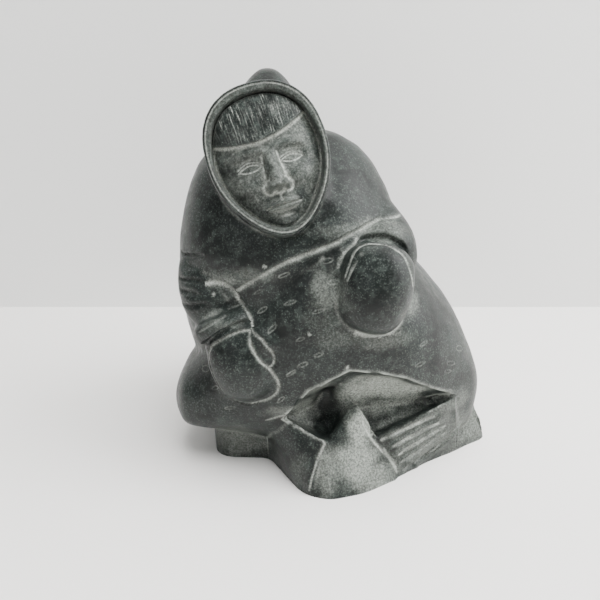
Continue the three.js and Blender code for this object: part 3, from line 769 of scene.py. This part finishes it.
def carved_face():
    step = FACE_GRAIN / SHARE
    wide, tall = 2 * 14.2, 36.4
    grid = bmesh.new()
    bmesh.ops.create_grid(grid, x_segments=round(wide / step), y_segments=round(tall / step), size=0.5)
    drawn = np.array([v.co[:] for v in grid.verts])
    across, up = drawn[:, 0] * wide, drawn[:, 1] * tall - 1.55
    forward, _, ratio, _, _ = face_surface(across, up)
    for vertex, place in zip(grid.verts, from_head(np.column_stack([across, forward, up]))):
        vertex.co = place
    bmesh.ops.delete(grid, geom=[v for v, r in zip(list(grid.verts), ratio) if r > 0.997], context="VERTS")

    # the rim's outer side, which runs back into the hood, and the back of the piece, out of sight in it
    edges = [edge for edge in grid.edges if edge.is_boundary]
    ring = [vertex for vertex in grid.verts if vertex.is_boundary]
    for size, deep in ((1.0, 0.74), (1.003, 0.5), (1.003, -3.6), (0.9, -6.2)):
        if deep < 0.74:
            made = bmesh.ops.extrude_edge_only(grid, edges=edges)["geom"]
            ring = [v for v in made if isinstance(v, bmesh.types.BMVert)]
            edges = [edge for edge in made if isinstance(edge, bmesh.types.BMEdge)]
        outline = on_head(np.array([v.co[:] for v in ring]))
        outline[:, [0, 2]] *= size / egg_ratio(outline[:, 0], outline[:, 2])[:, None]
        outline[:, 1] = deep
        for vertex, place in zip(ring, from_head(outline)):
            vertex.co = place
    bmesh.ops.edgeloop_fill(grid, edges=edges)
    bmesh.ops.recalc_face_normals(grid, faces=grid.faces)
    mesh = bpy.data.meshes.new("carved_face")
    grid.to_mesh(mesh)
    grid.free()

    places, normals = mesh_points(mesh), mesh_normals(mesh)
    seen = on_head(places)
    _, dust, ratio, line_far, in_band = face_surface(seen[:, 0], seen[:, 2])
    sunken = hollowness(places, normals, edge_ends(mesh), 30)
    dust = np.maximum(dust, 0.7 * ease(sunken, 0.00003, 0.00038) * (1 - in_band))
    dust = np.where(seen[:, 1] < 0.3, dust * (ratio < 0.96), dust)
    worn = 0.25 * ease(-sunken, 0.00002, 0.0004) * (1 - in_band)
    skin = 1 - ease(line_far, -0.1, 0.3)
    broken = 0.16 * smooth_noise(places, 0.0065, 13) + 0.16 * smooth_noise(places, 0.0022, 16)
    pale = skin * clamp(0.18 + broken)
    pale = np.maximum(pale * (1 - in_band), 0.12 * in_band * (ratio < 0.94))
    pale = np.maximum(pale, 0.08 * smooth_noise(places, 0.006, 14))
    combed = clamp(0.24 + 0.32 * smooth_noise(places, 0.0055, 17))
    keep_value(mesh, "hair", combed * ease(line_far, 0.3, 1.0) * (1 - in_band))
    drawn = mesh.uv_layers.new(name="beside_head").data
    corners = np.empty(len(mesh.loops), dtype=np.int64)
    mesh.loops.foreach_get("vertex_index", corners)
    drawn.foreach_set("uv", (seen[corners][:, [0, 2]] * SHARE).astype(np.float32).ravel())
    keep_value(mesh, "dust", dust)
    keep_value(mesh, "pale", pale)
    keep_value(mesh, "worn", worn)
    tooled = 0.00006 * smooth_noise(places, 0.0024, 11) + 0.00014 * smooth_noise(places, 0.007, 12)
    move_points(mesh, places + normals * (tooled * (seen[:, 1] > -5))[:, None])
    return mesh


face = new_piece("carved_face", carved_face())
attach(face, "root")


# Materials.
def linear(hex_code):
    """An sRGB colour, such as 3a423f, as Blender's linear colour."""
    values = [int(hex_code[i:i + 2], 16) / 255 for i in (0, 2, 4)]
    return tuple(v / 12.92 if v <= 0.04045 else ((v + 0.055) / 1.055) ** 2.4 for v in values) + (1.0,)


def node(tree, kind, settings=None, links=None):
    """Adds a node. Settings name its properties or sockets, and links name the sockets that feed it."""
    made = tree.nodes.new(kind)
    for name, value in (settings or {}).items():
        if isinstance(name, str) and name in made.bl_rna.properties:
            setattr(made, name, value)
        else:
            made.inputs[name].default_value = value
    for name, source in (links or {}).items():
        tree.links.new(source, made.inputs[name])
    return made


def soapstone():
    """Dark grey-green soapstone, rubbed to a wax polish: deep and slightly cloudy, with pale powder left in
    the cuts, matt where it wasn't polished, painted light on the lit faces of the hollow under the seal, and
    a fine fleck through it all."""
    material = bpy.data.materials.new("wax_polished_soapstone")
    material.use_nodes = True
    tree = material.node_tree
    surface = tree.nodes["Principled BSDF"]
    place = node(tree, "ShaderNodeTexCoord").outputs["Object"]
    dust, pale, worn, hair = [node(tree, "ShaderNodeAttribute", {"attribute_name": name}).outputs["Fac"]
                              for name in ("dust", "pale", "worn", "hair")]

    # Clouds are about 15 mm wide, mottling about 3 mm and flecks about 0.4 mm. The powder is too fine to
    # show, so its grains are drawn about 0.8 mm coarse.
    clouds = node(tree, "ShaderNodeTexNoise", {"Scale": 65, "Detail": 4}, {"Vector": place}).outputs["Fac"]
    mottling = node(tree, "ShaderNodeTexNoise", {"Scale": 330, "Detail": 4}, {"Vector": place}).outputs["Fac"]
    powder = node(tree, "ShaderNodeTexNoise", {"Scale": 1250, "Detail": 3, "Roughness": 0.65},
                  {"Vector": place}).outputs["Fac"]
    flecks = node(tree, "ShaderNodeTexVoronoi", {"Scale": 900, "Randomness": 1.0}, {"Vector": place})
    # combed strands about 0.4 mm wide and 8 mm long
    beside_head = node(tree, "ShaderNodeUVMap", {"uv_map": "beside_head"}).outputs["UV"]
    combing = node(tree, "ShaderNodeMapping", {"Scale": (1.0, 0.07, 1.0)},
                   {"Vector": beside_head}).outputs["Vector"]
    strands = node(tree, "ShaderNodeTexNoise", {"Scale": 1500, "Detail": 2},
                   {"Vector": combing}).outputs["Fac"]

    def ramp(value, low, high):
        return node(tree, "ShaderNodeMapRange", {"interpolation_type": "SMOOTHSTEP", "From Min": low,
                                                 "From Max": high}, {"Value": value}).outputs["Result"]

    def product(first, second):
        return node(tree, "ShaderNodeMath", {"operation": "MULTIPLY"}, {0: first, 1: second}).outputs[0]

    def mixed(amount, under, over):
        made = node(tree, "ShaderNodeMix", {"data_type": "RGBA"}, {0: amount})
        for socket, colour in ((6, under), (7, over)):
            if isinstance(colour, str):
                made.inputs[socket].default_value = linear(colour)
            else:
                tree.links.new(colour, made.inputs[socket])
        return made.outputs[2]

    colour = mixed(ramp(clouds, 0.36, 0.66), "0f1211", "1b201e")
    colour = mixed(ramp(mottling, 0.46, 0.76), colour, "2d3330")
    fleck = product(ramp(flecks.outputs["Distance"], 0.24, 0.1), ramp(mottling, 0.47, 0.62))
    colour = mixed(fleck, colour, "565c56")
    grit = product(ramp(powder, 0.49, 0.74), ramp(clouds, 0.28, 0.56))
    colour = mixed(grit, colour, "484e4a")
    colour = mixed(ramp(worn, 0.1, 0.95), colour, "7c827b")
    uneven = node(tree, "ShaderNodeMapRange",
                  {"From Min": 0.36, "From Max": 0.64, "To Min": 0.35, "To Max": 1.25},
                  {"Value": powder}).outputs["Result"]
    # pale unpolished stone, and the painted light on the lit faces in the hollow and on the slit's shadowed
    # upper wall
    unpolished_and_painted_light = product(pale, uneven)
    colour = mixed(unpolished_and_painted_light, colour, "9ba098")
    combed = product(hair, ramp(strands, 0.53, 0.68))
    powdered = node(tree, "ShaderNodeMath", {"operation": "MAXIMUM", "use_clamp": True},
                    {0: product(dust, uneven), 1: product(combed, uneven)}).outputs[0]
    colour = mixed(powdered, colour, "b4b8b0")
    tree.links.new(colour, surface.inputs["Base Color"])

    rough = node(tree, "ShaderNodeMath", {"operation": "MAXIMUM"}, {0: unpolished_and_painted_light, 1: powdered}).outputs[0]
    rough = node(tree, "ShaderNodeMath", {"operation": "ADD"},
                 {0: rough, 1: product(mottling, mottling)}).outputs[0]
    rough = node(tree, "ShaderNodeMapRange",
                 {"From Min": 0.1, "From Max": 1.1, "To Min": 0.34, "To Max": 0.8},
                 {"Value": rough}).outputs["Result"]
    tree.links.new(rough, surface.inputs["Roughness"])
    # light meets the thin coat of wax first, which is rubbed almost away and mirrors less than a full coat
    surface.inputs["IOR"].default_value = 1.44
    surface.inputs["Specular IOR Level"].default_value = 0.3

    # fine rasp marks that the polish didn't take out
    bump = node(tree, "ShaderNodeBump", {"Strength": 0.5, "Distance": 0.00012}, {"Height": powder})
    bump = node(tree, "ShaderNodeBump", {"Strength": 0.35, "Distance": 0.00025},
                {"Height": mottling, "Normal": bump.outputs["Normal"]})
    tree.links.new(bump.outputs["Normal"], surface.inputs["Normal"])
    return material


def pale_paint(name, hex_code):
    material = bpy.data.materials.new(name)
    material.use_nodes = True
    surface = material.node_tree.nodes["Principled BSDF"]
    surface.inputs["Base Color"].default_value = linear(hex_code)
    surface.inputs["Roughness"].default_value = 0.7
    return material


carved = soapstone()
for piece in (body, face):
    piece.data.materials.clear()
    piece.data.materials.append(carved)
    for polygon in piece.data.polygons:
        polygon.use_smooth = True


# The pale table and the plain wall behind it.
def panel(name, corners, material):
    mesh = bpy.data.meshes.new(name)
    mesh.from_pydata(corners, [], [(0, 1, 2, 3)])
    piece = new_piece(name, mesh)
    mesh.materials.append(material)


WALL = 0.1405
panel("table", [(-1.5, -1.2, 0), (1.5, -1.2, 0), (1.5, WALL, 0), (-1.5, WALL, 0)],
      pale_paint("pale_table_paint", "e4e2df"))
panel("wall", [(-1.5, WALL, 0), (1.5, WALL, 0), (1.5, WALL, 1.2), (-1.5, WALL, 1.2)],
      pale_paint("pale_wall_paint", "f0f0ee"))

# Soft studio light: a large window light from the upper right, a weak fill and a pale room.
world = bpy.data.worlds.new("pale_room")
bpy.context.scene.world = world
world.use_nodes = True
world.node_tree.nodes["Background"].inputs["Color"].default_value = linear("eef1f3")
world.node_tree.nodes["Background"].inputs["Strength"].default_value = 0.26


def soft_light(name, place, target, size, power, colour, mirrored=True):
    light = bpy.data.lights.new(name, "AREA")
    light.shape = "DISK"
    light.size = size
    light.energy = power
    light.color = linear(colour)[:3]
    lamp = bpy.data.objects.new(name, light)
    bpy.context.scene.collection.objects.link(lamp)
    lamp.location = place
    lamp.visible_glossy = mirrored
    lamp.rotation_euler = (Vector(target) - Vector(place)).to_track_quat("-Z", "Y").to_euler()


soft_light("window", (0.9, 0.05, 0.7), (0, 0, 0.07), 1.2, 34.0, "ffffff")
soft_light("ceiling", (0.25, -0.1, 1.2), (0, 0, 0.05), 1.2, 46.0, "ffffff", mirrored=False)
soft_light("fill", (-0.4, -0.6, 0.5), (0, 0, 0.08), 0.5, 1.0, "f2f5f8")

# The camera stands where the photograph was taken from: 25 degrees above, looking down on the front.
view = bpy.data.cameras.new("camera")
view.lens = 40.2
view.sensor_width = 36.0
camera = bpy.data.objects.new("camera", view)
bpy.context.scene.collection.objects.link(camera)
camera.location = (-0.016842, -0.2816655, 0.1988)
camera.rotation_euler = Euler((math.radians(90 - 24.62), 0, 0))
bpy.context.scene.camera = camera
